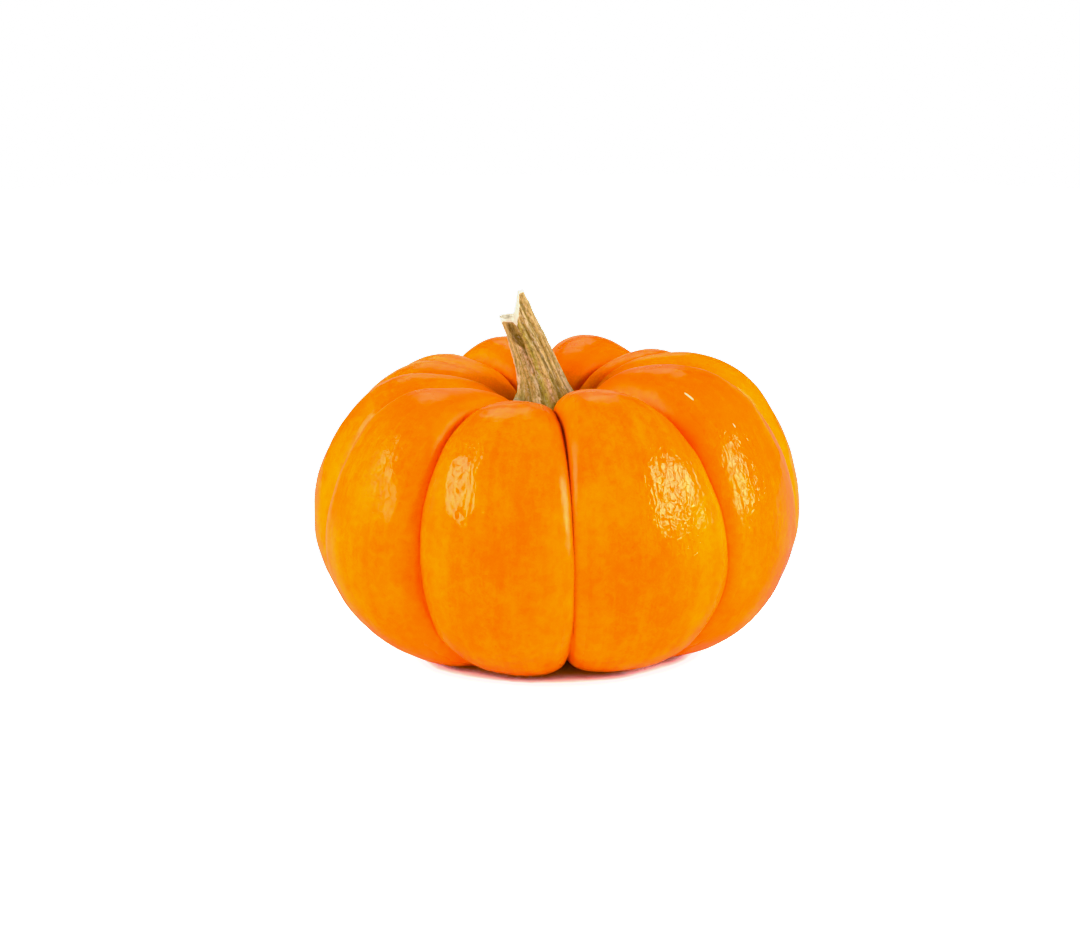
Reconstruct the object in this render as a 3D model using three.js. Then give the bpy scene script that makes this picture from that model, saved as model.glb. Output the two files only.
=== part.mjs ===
// A small ribbed orange pumpkin, as picked, standing on the feet of its ten lobes.
// Units are millimetres, +Z is up and -Y is the side that faces the viewer.
// The origin lies on the resting plane, under the middle of the whole object.
// Azimuths are in degrees: 0 faces the viewer, and they grow towards the right, +X.
import * as THREE from 'three';

// Driving dimensions of the fruit, before its lobes differ
const GIRTH_RADIUS = 48.4;        // from the axis to a lobe's crest, at the widest height
const GIRTH_HEIGHT = 27.8;        // height of the widest place
const CROWN_RADIUS = 26.1;        // radius of the ring where the lobes are highest
const CROWN_HEIGHT = 56.9;
const FOOT_RADIUS = 17.9;         // radius of the ring that the fruit stands on
const DIMPLE_HEIGHT = 6.0;        // how far the blossom end is drawn up into the underside
const SHOULDER_POWER = 1.03;      // 1 makes the upper shoulder a quarter ellipse, more flattens it
const BELLY_POWER = 0.965;        // the same for the lower half
const LOBE_POWER = 2.3;           // 2 makes a lobe's cross-section an ellipse, more flattens its back
const FOOT_FLAT = 0.5;            // how far the flat spot under each lobe is set in

// The seat of the stem, at the bottom of the hollow in the top
const SEAT_HEIGHT = 48.0;
const SEAT_RADIUS = 8.2;
const SEAT_SHIFT_X = -1.6;        // the hollow stands a little left of the axis
const SEAT_SHIFT_Y = -0.2;

// Blossom scar, a button in the middle of the dimple underneath
const SCAR_RADIUS = 4.2;
const SCAR_DROP = 1.1;

// Depth of the grooves, at stations along a lobe:
// 0 blossom end, 1 foot, 2 girth, 3 crown, 4 stem
const GROOVE_DEPTHS = [
  { station: 0.0, depth: 0.5 },
  { station: 0.6, depth: 3.6 },
  { station: 1.2, depth: 4.0 },
  { station: 2.0, depth: 3.7 },
  { station: 3.0, depth: 5.9 },
  { station: 3.6, depth: 3.5 },
  { station: 4.0, depth: 0.6 },
];

// The ten lobes, one after another to the right. groove is the azimuth of the groove that a lobe
// begins at, lean tips that groove from foot to crown and bow curves it, all in degrees. cut scales
// the groove's depth. taller and fuller are millimetres added at the crown and at the girth.
const LOBES = [
  { groove: -36.5, lean: -1, bow: 1.5, cut: 0.92, taller: -2.0, fuller: -0.2 },
  { groove: 4.0, lean: -1.5, bow: 0, cut: 1.0, taller: 0.7, fuller: -1.4 },
  { groove: 45.0, lean: -6, bow: 1, cut: 1.04, taller: 3.1, fuller: 0.1 },
  { groove: 83.5, lean: 7, bow: 2, cut: 0.97, taller: 2.4, fuller: 1.0 },
  { groove: 116.5, lean: -0.5, bow: 0, cut: 1.02, taller: 0.2, fuller: 0.3 },
  { groove: 147, lean: -2, bow: -0.5, cut: 1.02, taller: 0.9, fuller: 0.0 },
  { groove: 182.5, lean: -0.5, bow: 0, cut: 1.0, taller: 0.4, fuller: 0.1 },
  { groove: 215.5, lean: 0.5, bow: 0.5, cut: 1.0, taller: -1.3, fuller: -0.9 },
  { groove: 263.5, lean: 0, bow: 1.5, cut: 1.03, taller: -1.0, fuller: -0.3 },
  { groove: 291, lean: 0, bow: 1, cut: 1.03, taller: -1.2, fuller: 2.7 },
];

// The whole fruit is drawn up a little to one side
const TILT = -0.01;
const TILT_AZIMUTH = 72;

// Driving dimensions of the stem, a stub that leans left and is broken off at the top
const STEM_LEDGE_HEIGHT = 67.2;   // height of the level part of the break
const STEM_BASE_X = -1.2;
const STEM_BASE_Y = -0.3;
const STEM_LEAN_X = -6.5;         // how far the ledge's middle stands left of the base's
const STEM_LEAN_POWER = 1.3;      // above 1 the stem sets off upright and leans more as it rises
const STEM_TOP_RADIUS = 3.5;
const STEM_TAPER = 1.2;           // what the radius gains from the ledge down to the base
const STEM_FLARE = 2.3;           // what the spreading foot adds to that
const STEM_FLARE_POWER = 4;
const STEM_DEPTH_RATIO = 0.94;    // front to back, against left to right
const STEM_RIDGES = 5;            // main ridges, with a lesser one between each two
const STEM_RIDGE_AZIMUTH = 18;
const MAIN_RIDGE_SHARE = 0.045;   // height of the ridges as a share of the radius
const LESSER_RIDGE_SHARE = 0.05;
const SPIKE_RISE = 6.0;           // the splinter of the stem's wall that stands above the ledge
const SPIKE_AZIMUTH = 58;
const SPIKE_HALF_WIDTH = 66;      // degrees to either side
const SPIKE_BLUNTNESS = 0.85;     // 1 gives the splinter straight flanks, less makes them full
const SPIKE_THICKNESS = 0.62;     // as a share of the radius
const LEDGE_ROUGHNESS = 0.25;

// Place of the fruit's axis, so that the origin is under the middle of the whole
const AXIS_X = -0.55;
const AXIS_Y = -0.05;

// Fineness of the meshes
const LOBE_STEPS = 10;            // around each lobe
const DIMPLE_ROWS = 7;            // from the blossom end to the foot
const BELLY_ROWS = 10;            // from the foot to the girth
const SHOULDER_ROWS = 10;         // from the girth to the crown
const HOLLOW_ROWS = 8;            // from the crown to the stem
const STEM_STEPS = 50;            // around the stem
const STEM_ROWS = 16;             // from the base to the break
const BREAK_RINGS = 5;            // from the rim of the break to its middle

const { degToRad, smoothstep, lerp } = THREE.MathUtils;
const LAST_STATION = 4;

const RIND = new THREE.MeshStandardMaterial({ color: 0xf28a12, roughness: 0.36, metalness: 0 });
const DRY_STEM = new THREE.MeshStandardMaterial({ color: 0xa89058, roughness: 0.85, metalness: 0 });
RIND.name = 'rind';
DRY_STEM.name = 'dry_stem';

// Section through the axis along a lobe's crest: the radius and height at a station
function crest(station) {
  const quarter = Math.min(Math.floor(station), LAST_STATION - 1);
  const turn = (station - quarter) * Math.PI / 2;
  const sin = Math.sin(turn);
  const cos = Math.max(Math.cos(turn), 0);
  if (quarter === 0) {
    return { radius: FOOT_RADIUS * station, height: DIMPLE_HEIGHT * cos * cos };
  }
  if (quarter === 1) {
    const out = GIRTH_RADIUS - FOOT_RADIUS;
    return {
      radius: FOOT_RADIUS + out * sin ** BELLY_POWER,
      height: GIRTH_HEIGHT * (1 - cos ** BELLY_POWER),
    };
  }
  if (quarter === 2) {
    const out = GIRTH_RADIUS - CROWN_RADIUS;
    return {
      radius: CROWN_RADIUS + out * cos ** SHOULDER_POWER,
      height: GIRTH_HEIGHT + (CROWN_HEIGHT - GIRTH_HEIGHT) * sin ** SHOULDER_POWER,
    };
  }
  return {
    radius: CROWN_RADIUS - (CROWN_RADIUS - SEAT_RADIUS) * sin,
    height: SEAT_HEIGHT + (CROWN_HEIGHT - SEAT_HEIGHT) * cos,
  };
}

// Outward direction of that section at a station
function crestNormal(station) {
  const step = 1e-3;
  const before = crest(Math.max(station - step, 0));
  const after = crest(Math.min(station + step, LAST_STATION));
  const run = after.radius - before.radius;
  const rise = after.height - before.height;
  const length = Math.hypot(run, rise);
  return { out: rise / length, up: -run / length };
}

// Depth of a groove at a station, easing from one listed depth to the next
function grooveDepth(station) {
  const next = GROOVE_DEPTHS.findIndex((entry) => entry.station >= station);
  if (next <= 0) {
    return GROOVE_DEPTHS[0].depth;
  }
  const low = GROOVE_DEPTHS[next - 1];
  const high = GROOVE_DEPTHS[next];
  return lerp(low.depth, high.depth, smoothstep(station, low.station, high.station));
}

// Azimuth of the groove that lobe number index begins at; index 10 is the first one, a turn on
function grooveAzimuth(index, station) {
  const lobe = LOBES[index % LOBES.length];
  const turns = Math.floor(index / LOBES.length);
  const rise = (station - 2) / 2;
  return lobe.groove + 360 * turns + lobe.lean * rise + lobe.bow * (1 - rise * rise);
}

// A point of the fruit's skin. across runs from -1 to 1 between the two grooves of a lobe.
function skinPoint(index, across, station) {
  const lobe = LOBES[index];
  const nextLobe = LOBES[(index + 1) % LOBES.length];
  const share = (across + 1) / 2;
  const azimuth = lerp(grooveAzimuth(index, station), grooveAzimuth(index + 1, station), share);
  const bulge = Math.sqrt(Math.max(0, 1 - Math.abs(across) ** LOBE_POWER));
  const sunk = grooveDepth(station) * lerp(lobe.cut, nextLobe.cut, share) * (1 - bulge);
  const section = crest(station);
  const normal = crestNormal(station);
  const angle = degToRad(azimuth);

  // The lobe's own height and girth come in between the foot and the seat
  const tilt = TILT * Math.cos(degToRad(azimuth - TILT_AZIMUTH));
  const tallShare = smoothstep(station, 1.2, 3.2) * (1 - smoothstep(station, 3.3, LAST_STATION));
  const fullShare = smoothstep(Math.min(station, LAST_STATION - station), 0, 1.5);
  const taller = 1 + tallShare * (tilt + bulge * lobe.taller / CROWN_HEIGHT);
  const fuller = 1 + fullShare * bulge * lobe.fuller / GIRTH_RADIUS;
  const radius = (section.radius - normal.out * sunk) * fuller;
  const height = (section.height - normal.up * sunk) * taller;

  // The top is drawn over to where the stem grew
  const inner = smoothstep(station, 2, LAST_STATION);
  const scar = SCAR_DROP * (1 - smoothstep(radius, SCAR_RADIUS * 0.5, SCAR_RADIUS));
  const lifted = height - (station < 1 ? scar : 0);
  return new THREE.Vector3(
    AXIS_X + radius * Math.sin(angle) + SEAT_SHIFT_X * inner,
    AXIS_Y - radius * Math.cos(angle) + SEAT_SHIFT_Y * inner,
    Math.max(lifted, FOOT_FLAT) - FOOT_FLAT,
  );
}

// Collects points and triangles of one closed body
class Body {
  constructor() {
    this.points = [];
    this.faces = [];
  }

  point(vector) {
    this.points.push(vector.x, vector.y, vector.z);
    return this.points.length / 3 - 1;
  }

  ring(vectors) {
    return vectors.map((vector) => this.point(vector));
  }

  // Joins two rings that run the same way round, the first one below the second
  band(lower, upper) {
    const count = lower.length;
    for (let i = 0; i < count; i += 1) {
      const j = (i + 1) % count;
      this.faces.push(lower[i], lower[j], upper[j]);
      this.faces.push(lower[i], upper[j], upper[i]);
    }
  }

  // Closes a ring with a fan to a middle point; facing up, or down for the underside
  cap(ring, middle, facesUp) {
    const count = ring.length;
    for (let i = 0; i < count; i += 1) {
      const j = (i + 1) % count;
      if (facesUp) {
        this.faces.push(ring[i], ring[j], middle);
      } else {
        this.faces.push(ring[j], ring[i], middle);
      }
    }
  }

  geometry() {
    const geometry = new THREE.BufferGeometry();
    geometry.setAttribute('position', new THREE.Float32BufferAttribute(this.points, 3));
    geometry.setIndex(this.faces);
    geometry.computeVertexNormals();
    return geometry;
  }
}

// The stations of the mesh's rows, from the blossom end up and over into the hollow
function rowStations() {
  const stations = [];
  [DIMPLE_ROWS, BELLY_ROWS, SHOULDER_ROWS, HOLLOW_ROWS].forEach((rows, quarter) => {
    for (let row = 1; row <= rows; row += 1) {
      stations.push(quarter + row / rows);
    }
  });
  return stations;
}

// The fruit: ten lobes that grew as one piece, with the seat of the stem in the top
function fruitGeometry() {
  const body = new Body();
  let below = null;
  for (const station of rowStations()) {
    const vectors = [];
    for (let index = 0; index < LOBES.length; index += 1) {
      for (let step = 0; step < LOBE_STEPS; step += 1) {
        // The steps crowd together at the grooves, where the skin turns fastest
        const across = Math.sin((step / LOBE_STEPS - 0.5) * Math.PI);
        vectors.push(skinPoint(index, across, station));
      }
    }
    const ring = body.ring(vectors);
    if (below) {
      body.band(below, ring);
    } else {
      const blossomEnd = skinPoint(0, 0, 0);
      body.cap(ring, body.point(blossomEnd), false);
    }
    below = ring;
  }
  const seat = new THREE.Vector3(
    AXIS_X + SEAT_SHIFT_X,
    AXIS_Y + SEAT_SHIFT_Y,
    SEAT_HEIGHT - FOOT_FLAT,
  );
  body.cap(below, body.point(seat), true);
  return body.geometry();
}

// A point of the stem at a height. reach is 1 on its side and 0 on its axis.
function stemPoint(azimuth, height, reach) {
  const rise = (height - SEAT_HEIGHT) / (STEM_LEDGE_HEIGHT - SEAT_HEIGHT);
  const below = Math.max(1 - rise, 0);
  const plain = STEM_TOP_RADIUS + STEM_TAPER * below + STEM_FLARE * below ** STEM_FLARE_POWER;
  const turn = degToRad(azimuth - STEM_RIDGE_AZIMUTH);
  const ridges = MAIN_RIDGE_SHARE * Math.cos(STEM_RIDGES * turn)
    + LESSER_RIDGE_SHARE * Math.cos(2 * STEM_RIDGES * turn);
  const radius = plain * (1 + ridges) * reach;
  const angle = degToRad(azimuth);
  return new THREE.Vector3(
    AXIS_X + STEM_BASE_X + STEM_LEAN_X * rise ** STEM_LEAN_POWER + radius * Math.sin(angle),
    AXIS_Y + STEM_BASE_Y - STEM_DEPTH_RATIO * radius * Math.cos(angle),
    height - FOOT_FLAT,
  );
}

// Height of the broken end: a nearly level ledge, and the splinter of wall left standing on it
function breakHeight(azimuth, reach) {
  const away = Math.abs(THREE.MathUtils.euclideanModulo(azimuth - SPIKE_AZIMUTH + 180, 360) - 180);
  const alongWall = Math.max(0, 1 - away / SPIKE_HALF_WIDTH) ** SPIKE_BLUNTNESS;
  const intoStem = Math.max(0, 1 - (1 - reach) / SPIKE_THICKNESS);
  const turn = degToRad(azimuth);
  const rough = LEDGE_ROUGHNESS * (Math.cos(3 * turn) + 0.6 * Math.sin(7 * turn)) * reach;
  return STEM_LEDGE_HEIGHT + rough + SPIKE_RISE * alongWall * intoStem;
}

// The stem: a ridged stub with a spreading foot
function stemGeometry() {
  const body = new Body();
  const azimuths = Array.from({ length: STEM_STEPS }, (_, step) => step * 360 / STEM_STEPS);
  const base = body.ring(azimuths.map((azimuth) => stemPoint(azimuth, SEAT_HEIGHT, 1)));
  body.cap(base, body.point(stemPoint(0, SEAT_HEIGHT, 0)), false);
  let below = base;
  for (let row = 1; row <= STEM_ROWS; row += 1) {
    const ring = body.ring(azimuths.map((azimuth) => {
      const height = lerp(SEAT_HEIGHT, breakHeight(azimuth, 1), row / STEM_ROWS);
      return stemPoint(azimuth, height, 1);
    }));
    body.band(below, ring);
    below = ring;
  }
  for (let inner = 1; inner < BREAK_RINGS; inner += 1) {
    const reach = 1 - inner / BREAK_RINGS;
    const ring = body.ring(azimuths.map((azimuth) => {
      return stemPoint(azimuth, breakHeight(azimuth, reach), reach);
    }));
    body.band(below, ring);
    below = ring;
  }
  body.cap(below, body.point(stemPoint(0, STEM_LEDGE_HEIGHT, 0)), true);
  return body.geometry();
}

const pumpkin = new THREE.Group();
pumpkin.name = 'pumpkin';

const fruit = new THREE.Mesh(fruitGeometry(), RIND);
fruit.name = 'fruit';
pumpkin.add(fruit);

const stem = new THREE.Mesh(stemGeometry(), DRY_STEM);
stem.name = 'stem';
pumpkin.add(stem);

export default pumpkin;
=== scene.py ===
"""A small ribbed orange pumpkin with a broken-off stub of stem, dressed round the frame.

The pumpkin and the camera are measured in millimetres, and turned into metres where they are
made. Lamps and the floor are measured in metres. +Z is up, -Y faces the camera. Azimuths are in
degrees: 0 faces the camera and they grow towards the right, +X.
"""
import logging
import math
from dataclasses import dataclass, field
from enum import Enum, IntEnum
from typing import Any

import bpy
import numpy as np
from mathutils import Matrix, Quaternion, Vector, noise


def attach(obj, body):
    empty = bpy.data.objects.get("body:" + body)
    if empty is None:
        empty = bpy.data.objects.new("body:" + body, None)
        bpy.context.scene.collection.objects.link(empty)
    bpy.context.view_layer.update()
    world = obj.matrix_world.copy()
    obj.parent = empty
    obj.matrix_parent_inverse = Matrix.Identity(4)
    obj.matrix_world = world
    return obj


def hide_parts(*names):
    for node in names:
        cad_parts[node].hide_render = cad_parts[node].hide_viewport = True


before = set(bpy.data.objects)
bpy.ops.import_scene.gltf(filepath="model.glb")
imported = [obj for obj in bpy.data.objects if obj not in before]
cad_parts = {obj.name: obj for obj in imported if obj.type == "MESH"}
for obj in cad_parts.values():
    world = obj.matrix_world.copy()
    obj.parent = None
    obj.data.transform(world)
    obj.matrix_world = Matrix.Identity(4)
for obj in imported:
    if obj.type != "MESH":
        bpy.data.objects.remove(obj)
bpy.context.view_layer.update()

log = logging.getLogger("pumpkin")

MM = 0.001
GIRTH_MM = 48.4
WEAVE_STEP_MM = 15.0
MERIDIAN_STEP_MM = 6.0
STEM_STATION = 4.0

Colour = tuple[float, float, float]
Place = tuple[float, float, float]
Pair = tuple[float, float]
WARM: Colour = (1.0, 0.97, 0.90)
GOLDEN: Colour = (1.0, 0.84, 0.56)
WHITE: Colour = (1.0, 1.0, 1.0)
Array = np.ndarray


def smooth(low: float, high: float, value: Array) -> Array:
    """Eases from 0 at low to 1 at high.

    Args:
        low: Value where the result leaves 0.
        high: Value where the result reaches 1.
        value: Numbers to ease.

    Returns:
        The eased numbers, from 0 to 1.
    """
    share = np.clip((value - low) / (high - low), 0.0, 1.0)
    return share * share * (3.0 - 2.0 * share)


def turned(azimuth: Array, centre: Array | float) -> Array:
    """Angle from centre to azimuth in degrees, from -180 to 180."""
    return (np.asarray(azimuth) - centre + 180.0) % 360.0 - 180.0


def weave_place(azimuth: float, station: float) -> Place:
    """Where a spot of the skin lies in the coordinates of its fine weave, in mm."""
    turn = math.radians(azimuth)
    return GIRTH_MM * math.sin(turn), GIRTH_MM * math.cos(turn), WEAVE_STEP_MM * station


class Op(Enum):
    """The sums that a Math node does for a Value."""

    ADD = "ADD"
    SUBTRACT = "SUBTRACT"
    MULTIPLY = "MULTIPLY"
    DIVIDE = "DIVIDE"
    POWER = "POWER"
    MINIMUM = "MINIMUM"
    MAXIMUM = "MAXIMUM"
    ABSOLUTE = "ABSOLUTE"


class Value:
    """A number that varies over a surface: a node's socket, used in Python expressions."""

    def __init__(self, board: "Board", socket: bpy.types.NodeSocket) -> None:
        """Wraps a socket of a node on a board."""
        self.board = board
        self.socket = socket

    def __add__(self, other: "Value | float") -> "Value":
        """Self plus other."""
        return self.board.sum(Op.ADD, self, other)

    __radd__ = __add__

    def __sub__(self, other: "Value | float") -> "Value":
        """Self minus other."""
        return self.board.sum(Op.SUBTRACT, self, other)

    def __rsub__(self, other: "Value | float") -> "Value":
        """Other minus self."""
        return self.board.sum(Op.SUBTRACT, other, self)

    def __mul__(self, other: "Value | float") -> "Value":
        """Self times other."""
        return self.board.sum(Op.MULTIPLY, self, other)

    __rmul__ = __mul__

    def __truediv__(self, other: "Value | float") -> "Value":
        """Self divided by other."""
        return self.board.sum(Op.DIVIDE, self, other)

    def __pow__(self, power: float) -> "Value":
        """Self raised to a power."""
        return self.board.sum(Op.POWER, self, power)

    def __abs__(self) -> "Value":
        """Self without its sign."""
        return self.board.sum(Op.ABSOLUTE, self)

    def at_most(self, other: "Value | float") -> "Value":
        """The smaller of self and other."""
        return self.board.sum(Op.MINIMUM, self, other)

    def at_least(self, other: "Value | float") -> "Value":
        """The larger of self and other."""
        return self.board.sum(Op.MAXIMUM, self, other)

    def eased(self, low: float, high: float) -> "Value":
        """Eases from 0 where self is low to 1 where it is high.

        Args:
            low: Value where the result leaves 0; it may be above high.
            high: Value where the result reaches 1.

        Returns:
            The eased value, from 0 to 1.
        """
        made = self.board.node(
            "ShaderNodeMapRange",
            {"interpolation_type": "SMOOTHSTEP"},
            {"Value": self, "From Min": low, "From Max": high},
        )
        return Value(self.board, made.outputs["Result"])


@dataclass(frozen=True)
class Grain:
    """Soft noise round 0.5, mostly from 0.25 to 0.75.

    size is that of its largest lumps in mm, detail counts the finer octaves on top of them,
    roughness is how strong those are, and distortion draws the lumps out of shape.
    """

    size: float
    detail: float = 2.0
    roughness: float = 0.5
    distortion: float = 0.0


@dataclass(frozen=True)
class Fade:
    """Rises from 0 where a value is low to most where it is high; low may be above high."""

    low: float
    high: float
    most: float = 1.0

    def of(self, value: Value) -> Value:
        """How far it has risen at a value."""
        return value.eased(self.low, self.high) * self.most


def weighted(shares: tuple[float, ...], values: tuple[Value, ...]) -> Value:
    """Adds up values, each times its share."""
    return sum(share * value for share, value in zip(shares, values))


class Board:
    """Adds nodes to one node tree."""

    def __init__(self, tree: bpy.types.NodeTree) -> None:
        """Empties the tree and keeps it."""
        self.tree = tree
        tree.nodes.clear()

    def node(
        self,
        kind: str,
        settings: dict[str, Any] | None = None,
        sockets: dict[str, Any] | None = None,
    ) -> bpy.types.Node:
        """Adds a node, sets it up and then fills its sockets.

        Args:
            kind: The node's type.
            settings: Properties to set first, such as a Mix node's data type.
            sockets: Values or links, by the input's identifier or name.

        Returns:
            The new node.
        """
        made = self.tree.nodes.new(kind)
        for name, value in (settings or {}).items():
            setattr(made, name, value)
        for name, value in (sockets or {}).items():
            self._fill(self._input(made, name), value)
        return made

    def _input(self, made: bpy.types.Node, name: str) -> bpy.types.NodeSocket:
        """Finds an input by its identifier, or else by its name."""
        by_identifier = {socket.identifier: socket for socket in made.inputs}
        return by_identifier.get(name) or made.inputs[name]

    def _fill(self, socket: bpy.types.NodeSocket, value: Any) -> None:
        """Links a Value or a socket to an input, or sets the input to a constant."""
        if isinstance(value, Value):
            self.tree.links.new(value.socket, socket)
        elif isinstance(value, bpy.types.NodeSocket):
            self.tree.links.new(value, socket)
        elif isinstance(value, tuple) and socket.type == "RGBA":
            socket.default_value = (*value, 1.0)
        else:
            socket.default_value = value

    def sum(self, op: Op, *terms: "Value | float") -> Value:
        """Adds one Math node.

        Args:
            op: What the node does.
            *terms: One or two values or numbers.

        Returns:
            The node's result.
        """
        made = self.tree.nodes.new("ShaderNodeMath")
        made.operation = op.value
        for socket, term in zip(made.inputs, terms):
            self._fill(socket, term)
        return Value(self, made.outputs[0])

    def number(self, name: str) -> Value:
        """A number that the mesh carries at each point."""
        made = self.node("ShaderNodeAttribute", {"attribute_name": name})
        return Value(self, made.outputs["Fac"])

    def vector(self, name: str) -> bpy.types.NodeSocket:
        """A vector that the mesh carries at each point."""
        return self.node("ShaderNodeAttribute", {"attribute_name": name}).outputs["Vector"]

    def cloud(self, place: bpy.types.NodeSocket, grain: Grain) -> Value:
        """Soft noise over coordinates in millimetres."""
        sockets = {
            "Vector": place,
            "Scale": 1.0 / grain.size,
            "Detail": grain.detail,
            "Roughness": grain.roughness,
            "Distortion": grain.distortion,
        }
        return Value(self, self.node("ShaderNodeTexNoise", {}, sockets).outputs[0])

    def spots(self, place: bpy.types.NodeSocket, spacing: float) -> bpy.types.Node:
        """Adds a pattern of spots, so many millimetres apart."""
        sockets = {"Vector": place, "Scale": 1.0 / spacing}
        return self.node("ShaderNodeTexVoronoi", {"feature": "F1"}, sockets)

    def dot(self, first: Any, second: Any) -> Value:
        """Dot product of two vectors."""
        sockets = {"Vector": first, "Vector_001": second}
        made = self.node("ShaderNodeVectorMath", {"operation": "DOT_PRODUCT"}, sockets)
        return Value(self, made.outputs["Value"])

    def distance(self, first: Any, second: Any) -> Value:
        """Distance between two places."""
        sockets = {"Vector": first, "Vector_001": second}
        made = self.node("ShaderNodeVectorMath", {"operation": "DISTANCE"}, sockets)
        return Value(self, made.outputs["Value"])

    def line(self, place: bpy.types.NodeSocket, start: Place, end: Place) -> Value:
        """Distance to a straight line from start to end.

        Args:
            place: Coordinates in millimetres.
            start: One end of the line.
            end: Its other end.

        Returns:
            The distance in millimetres.
        """
        along = Vector(end) - Vector(start)
        sockets = {"Vector": place, "Vector_001": start}
        away = self.node("ShaderNodeVectorMath", {"operation": "SUBTRACT"}, sockets).outputs["Vector"]
        share = self.dot(away, tuple(along / along.length_squared)).at_least(0.0).at_most(1.0)
        aside = self.dot(away, away) - 2.0 * share * self.dot(away, tuple(along))
        return (aside + share * share * along.length_squared).at_least(0.0) ** 0.5

    def blend(self, share: Value | float, first: Any, second: Any) -> bpy.types.NodeSocket:
        """Mixes two colours.

        Args:
            share: How much of the second there is, from 0 to 1.
            first: Colour or link where share is 0.
            second: Colour or link where share is 1.

        Returns:
            The mixed colour.
        """
        made = self.node(
            "ShaderNodeMix",
            {"data_type": "RGBA"},
            {"Factor_Float": share, "A_Color": first, "B_Color": second},
        )
        return next(out for out in made.outputs if out.identifier == "Result_Color")

    def scaled(self, vector: Any, factor: Value | float) -> bpy.types.NodeSocket:
        """A vector, or a colour's brightness, times a number."""
        sockets = {"Vector": vector, "Scale": factor}
        return self.node("ShaderNodeVectorMath", {"operation": "SCALE"}, sockets).outputs["Vector"]

    def bump(self, height: Value) -> bpy.types.NodeSocket:
        """Turns a height in millimetres into a normal."""
        made = self.node("ShaderNodeBump", {}, {"Strength": 1.0, "Distance": MM, "Height": height})
        return made.outputs["Normal"]

    def mixed(self, share: Any, first: bpy.types.Node, second: bpy.types.Node) -> bpy.types.NodeSocket:
        """Mixes two nodes' shaders; share is how much of the second there is."""
        sockets = {"Fac": share, "Shader": first.outputs[0], "Shader_001": second.outputs[0]}
        return self.node("ShaderNodeMixShader", {}, sockets).outputs[0]

    def dress(self, sockets: dict[str, Any]) -> None:
        """Adds a Principled shader with these inputs as the material's surface."""
        shader = self.node("ShaderNodeBsdfPrincipled", {}, sockets)
        self.finish(shader.outputs["BSDF"])

    def finish(self, surface: bpy.types.NodeSocket) -> None:
        """Links a shader to the material's output."""
        self.node("ShaderNodeOutputMaterial", {}, {"Surface": surface})


def new_board(name: str) -> tuple[bpy.types.Material, Board]:
    """A new material of that name and the board of its nodes."""
    material = bpy.data.materials.new(name)
    material.use_nodes = True
    return material, Board(material.node_tree)


@dataclass(frozen=True)
class Layer:
    """One scale of unevenness: the size of its lumps and how far they stand out, in mm."""

    size: float
    height: float
    shift: float = 0.0

    def at(self, points: Array) -> Array:
        """The height of this layer at each point."""
        places = (points / self.size + self.shift).tolist()
        return self.height * np.array([noise.noise(place) for place in places])


def grid_normals(grid: Array) -> Array:
    """Outward directions of a grid of points whose columns run round to the right, rows upward.

    Args:
        grid: Points, rows by columns by 3. The last column joins the first.

    Returns:
        One unit vector for each point.
    """
    around = np.roll(grid, -1, axis=1) - np.roll(grid, 1, axis=1)
    along = np.gradient(grid, axis=0)
    normals = np.cross(around, along)
    return normals / np.maximum(np.linalg.norm(normals, axis=2, keepdims=True), 1e-9)


def band_faces(rows: int, columns: int) -> Array:
    """Corner numbers of the quads of a grid that joins itself at its sides."""
    row, column = np.meshgrid(np.arange(rows - 1), np.arange(columns), indexing="ij")
    right = (column + 1) % columns
    corners = (row * columns + column, row * columns + right)
    return np.stack((*corners, corners[1] + columns, corners[0] + columns), axis=-1).reshape(-1, 4)


def new_piece(
    name: str,
    grid: Array,
    material: bpy.types.Material,
    carried: dict[str, Array],
) -> bpy.types.Object:
    """Makes a closed body from a grid of rings and a middle point in each end.

    Args:
        name: The piece's name.
        grid: Points in mm, rows by columns by 3, from the bottom ring to the top one.
        material: Its finish.
        carried: Numbers or vectors for each point of the grid, which the finish reads.

    Returns:
        The new object, at the origin.
    """
    rows, columns = grid.shape[:2]
    count = rows * columns
    middles = [grid[0].mean(axis=0), grid[-1].mean(axis=0)]
    points = np.concatenate((grid.reshape(-1, 3), middles)) * MM
    faces = band_faces(rows, columns).tolist()
    last = count - columns
    for column in range(columns):
        right = (column + 1) % columns
        faces.append((right, column, count))
        faces.append((last + column, last + right, count + 1))
    mesh = bpy.data.meshes.new(name)
    mesh.from_pydata(points.tolist(), [], faces)
    for label, values in carried.items():
        flat = values.reshape(count, -1)
        ends = np.stack((flat[:columns].mean(axis=0), flat[last:].mean(axis=0)))
        whole = np.concatenate((flat, ends)).astype(np.float32)
        kind = "FLOAT_VECTOR" if whole.shape[1] == 3 else "FLOAT"
        slot = "vector" if whole.shape[1] == 3 else "value"
        mesh.attributes.new(label, kind, "POINT").data.foreach_set(slot, whole.ravel())
    mesh.shade_smooth()
    mesh.validate()
    mesh.materials.append(material)
    piece = bpy.data.objects.new(name, mesh)
    bpy.context.scene.collection.objects.link(piece)
    return piece


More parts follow.
